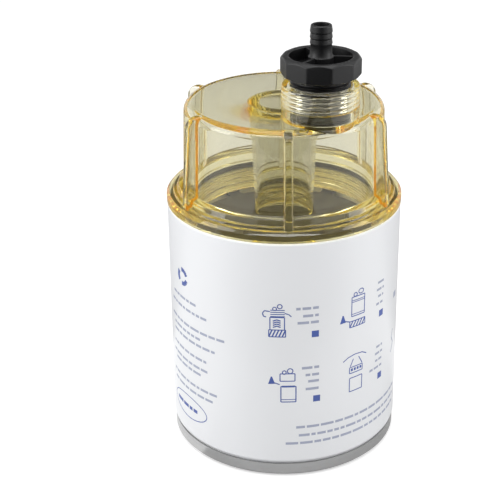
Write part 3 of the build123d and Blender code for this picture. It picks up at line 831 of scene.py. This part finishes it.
def print_sketches():
    """Four small line sketches of a can and a bowl."""
    hatched(-7.2, 64.1, 0.7, 67.1)
    frame_lines(-6.6, 67.1, 0.2, 72.5)
    for k in range(4):
        stroke("blue", [(-6.4, 72.9 + 0.9 * k), (0.3, 72.9 + 0.9 * k)], 0.35)
        stroke("blue", [(-5.2, 68.2 + 0.9 * k), (-3.4, 68.8 + 0.9 * k), (-1.6, 68.3 + 0.9 * k)], 0.5)
    ring(-2.0, 77.2, 1.1, 0.9)
    ring(-4.4, 76.2, 0.9, 0.7)
    stroke("blue", [(-6.6, 75.0), (-9.2, 75.2), (-10.1, 74.1), (-9.6, 72.8), (-8.4, 72.6)], 0.45)
    stroke("blue", [(0.3, 74.3), (2.2, 73.8), (3.4, 72.8)], 0.4)
    frame_lines(-1.5, 35.1, 5.7, 42.1, 0.45)
    stroke("blue", [(-1.5, 36.2), (5.7, 36.2)], 0.3)
    box("blue", -1.0, 41.7, 5.2, 42.5)
    frame_lines(-1.9, 44.5, 5.2, 47.8)
    ring(0.1, 48.4, 0.9, 0.8)
    ring(2.9, 49.0, 1.3, 1.1)
    funnel(-6.0, 44.6)
    funnel(29.0, 68.2)
    hatched(32.9, 64.0, 42.3, 66.6)
    frame_lines(33.9, 68.7, 41.8, 77.0)
    for z in (69.6, 74.8, 75.5):
        stroke("blue", [(34.0, z), (41.7, z)], 0.3)
    ring(36.0, 77.9, 1.0, 0.8)
    ring(39.4, 78.7, 1.5, 1.0)
    frame_lines(33.5, 35.0, 41.3, 41.1)
    frame_lines(33.4, 43.3, 41.4, 46.0)
    for k in range(4):
        box("blue", 34.2 + 1.8 * k, 44.2, 35.4 + 1.8 * k, 45.4)
    stroke("blue", [(29.6, 49.4), (32.5, 50.8), (36.5, 51.5), (41.0, 51.2), (44.0, 49.9)], 0.4)
    stroke("blue", [(35.6, 49.6), (33.8, 46.4)], 0.4)
    stroke("blue", [(38.9, 49.8), (41.2, 46.4)], 0.4)


def print_badges():
    """Oval and three arcs at the left, bare of words."""
    ring(-57.4, 20.2, 15.6, 5.1, 0.4, count=48)
    dashes([(-69.0, -47.0, 20.2)], 1.6, "blue")
    for start in (20, 140, 260):
        ring(-58.6, 79.0, 3.9, 3.0, 1.8, start, 84, 6)


def build_print():
    """Thin skins of ink on the can, one for each colour."""
    print_left_text()
    print_right_text()
    print_sketches()
    print_badges()
    for color, mat in (("blue", print_blue), ("grey", print_grey)):
        skin = finish_mesh(ink[color], "print_" + color)
        for face in skin.data.polygons:
            face.use_smooth = True
        dress(skin, mat, "filter")


# Solids that keep their shape
def dress_solids():
    """Gives the solids that nothing replaces their materials."""
    looks = {
        "seam_cover": zinc,
        "mount_gasket": rubber,
        "end_plate": bare_steel,
        "grommet": rubber,
        "upper_cap": dark_cap,
        "filter_media": paper,
        "core_tube": zinc,
        "lower_cap": dark_cap,
    }
    for name, mat in looks.items():
        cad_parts[name].data.materials.clear()
        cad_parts[name].data.materials.append(mat)


# Studio; distances in metres, the dip in radians and the sensor in millimetres
CAMERA_DISTANCE = 0.48773
CAMERA_HEIGHT = 0.30558
CAMERA_DIP = 0.42355
FOCAL_PIXELS = 1305.65
AXIS_PIXEL = (284.04, 235.42)
FRAME_PIXELS = 500
SENSOR = 36.0
WORLD_LIGHT = 0.48
FLOOR_SHADE = 0.60
FLOOR_GLOW = 0.54
FLOOR_DROP = 0.0001
CLEAR_BOUNCES = 64
HAZE_BOUNCES = 4
scene = bpy.context.scene


def around(azimuth, distance, height):
    """Place at an angle from the camera's side, in metres."""
    turn = math.radians(azimuth - FACING)
    return Vector((distance * math.sin(turn), -distance * math.cos(turn), height))


def add_camera():
    """Camera of the photograph, with the can's axis off the middle of the picture."""
    camera = bpy.data.cameras.new("camera")
    camera.sensor_width = SENSOR
    camera.lens = FOCAL_PIXELS / FRAME_PIXELS * SENSOR
    camera.shift_x = 0.5 - AXIS_PIXEL[0] / FRAME_PIXELS
    camera.shift_y = AXIS_PIXEL[1] / FRAME_PIXELS - 0.5
    camera.clip_start = 0.01
    view = bpy.data.objects.new("camera", camera)
    view.location = around(0, CAMERA_DISTANCE, CAMERA_HEIGHT)
    view.rotation_euler = (math.pi / 2 - CAMERA_DIP, 0, math.radians(-FACING))
    scene.collection.objects.link(view)
    scene.camera = view


def seen_rays(tree):
    """1 for camera, mirror and see-through rays, and 0 for the light that falls on the object."""
    path = tree.nodes.new("ShaderNodeLightPath")
    seen = path.outputs["Is Camera Ray"]
    for other in ("Is Glossy Ray", "Is Transmission Ray"):
        either = tree.nodes.new("ShaderNodeMath")
        either.operation = "MAXIMUM"
        tree.links.new(seen, either.inputs[0])
        tree.links.new(path.outputs[other], either.inputs[1])
        seen = either.outputs[0]
    return seen


def add_world():
    """White surroundings that light the object at a lower level than they are seen."""
    world = bpy.data.worlds.new("studio")
    world.use_nodes = True
    tree = world.node_tree
    background = tree.nodes["Background"]
    background.inputs["Color"].default_value = (1, 1, 1, 1)
    level = tree.nodes.new("ShaderNodeMapRange")
    level.inputs["To Min"].default_value = WORLD_LIGHT
    level.inputs["To Max"].default_value = 1.0
    tree.links.new(seen_rays(tree), level.inputs["Value"])
    tree.links.new(level.outputs["Result"], background.inputs["Strength"])
    scene.world = world


def add_floor():
    """Pale floor that keeps the object's shadow and is white elsewhere."""
    mat = bpy.data.materials.new("studio_floor")
    mat.use_nodes = True
    tree = mat.node_tree
    tree.nodes.clear()
    diffuse = tree.nodes.new("ShaderNodeBsdfDiffuse")
    diffuse.inputs["Color"].default_value = (FLOOR_SHADE, FLOOR_SHADE, FLOOR_SHADE, 1)
    glow = tree.nodes.new("ShaderNodeEmission")
    level = tree.nodes.new("ShaderNodeMath")
    level.operation = "MULTIPLY"
    level.inputs[1].default_value = FLOOR_GLOW
    tree.links.new(seen_rays(tree), level.inputs[0])
    tree.links.new(level.outputs[0], glow.inputs["Strength"])
    both = tree.nodes.new("ShaderNodeAddShader")
    tree.links.new(diffuse.outputs[0], both.inputs[0])
    tree.links.new(glow.outputs[0], both.inputs[1])
    out = tree.nodes.new("ShaderNodeOutputMaterial")
    tree.links.new(both.outputs[0], out.inputs["Surface"])
    bpy.ops.mesh.primitive_plane_add(size=6, location=(0, 0, -FLOOR_DROP))
    floor = bpy.context.object
    floor.name = "studio_floor"
    floor.data.materials.append(mat)


def add_lamp(name, place, size, power):
    """Soft lamp aimed at the can's middle."""
    aim = Vector((0, 0, 0.09))
    light = bpy.data.lights.new(name, "AREA")
    light.shape = "RECTANGLE"
    light.size, light.size_y = size
    light.energy = power
    lamp = bpy.data.objects.new(name, light)
    lamp.location = place
    lamp.rotation_euler = (aim - place).to_track_quat("-Z", "Y").to_euler()
    scene.collection.objects.link(lamp)


def add_flag(name, azimuth, distance, height, tilt, size, shade):
    """Card out of the picture that only mirroring surfaces show; it lies flat at a tilt of 0 degrees."""
    mat = material(name, (shade, shade, shade), 1.0, gloss=0.0)
    bpy.ops.mesh.primitive_plane_add(size=1, location=around(azimuth, distance, height))
    card = bpy.context.object
    card.name = name
    card.scale = (*size, 1)
    card.rotation_euler = (math.radians(tilt), 0, math.radians(azimuth - FACING))
    card.data.materials.append(mat)
    card.visible_camera = False
    card.visible_shadow = False
    card.visible_diffuse = False
    card.visible_transmission = False
    card.visible_volume_scatter = False


def add_lamps():
    """Large lamps at both sides, above and in front."""
    add_lamp("key_left", around(-75, 0.9, 0.55), (0.5, 0.8), 4.9)
    add_lamp("fill_right", around(80, 0.9, 0.45), (0.4, 0.8), 3.3)
    add_lamp("top", Vector((0, 0, 1.1)), (0.8, 0.8), 4.6)
    add_lamp("front", around(0, 0.7, 1.0), (1.2, 0.12), 3.3)


def add_flags():
    """Dark cards that give the clear and the metal pieces their contrast, and a pale one for the seam."""
    add_flag("flag_front", 0, 0.75, 0.6, 90, (0.75, 1.2), 0.01)
    add_flag("flag_low", 0, 0.43, 0.002, 0, (0.5, 0.6), 0.02)
    add_flag("flag_foot", 30, 0.05, 0.0005, 0, (0.2, 0.08), 0.62)
    add_flag("flag_back", 180, 1.0, 0.6, 90, (1.2, 0.6), 0.12)
    add_flag("flag_behind", 180, 0.40, 0.002, 0, (0.9, 0.68), 0.35)


build_bowl()
build_seals()
build_valve()
build_can()
build_print()
dress_solids()
add_floor()
add_world()
add_lamps()
add_flags()
add_camera()

scene.view_settings.view_transform = "Standard"
scene.cycles.max_bounces = CLEAR_BOUNCES
scene.cycles.glossy_bounces = CLEAR_BOUNCES
scene.cycles.transmission_bounces = CLEAR_BOUNCES
scene.cycles.volume_bounces = HAZE_BOUNCES
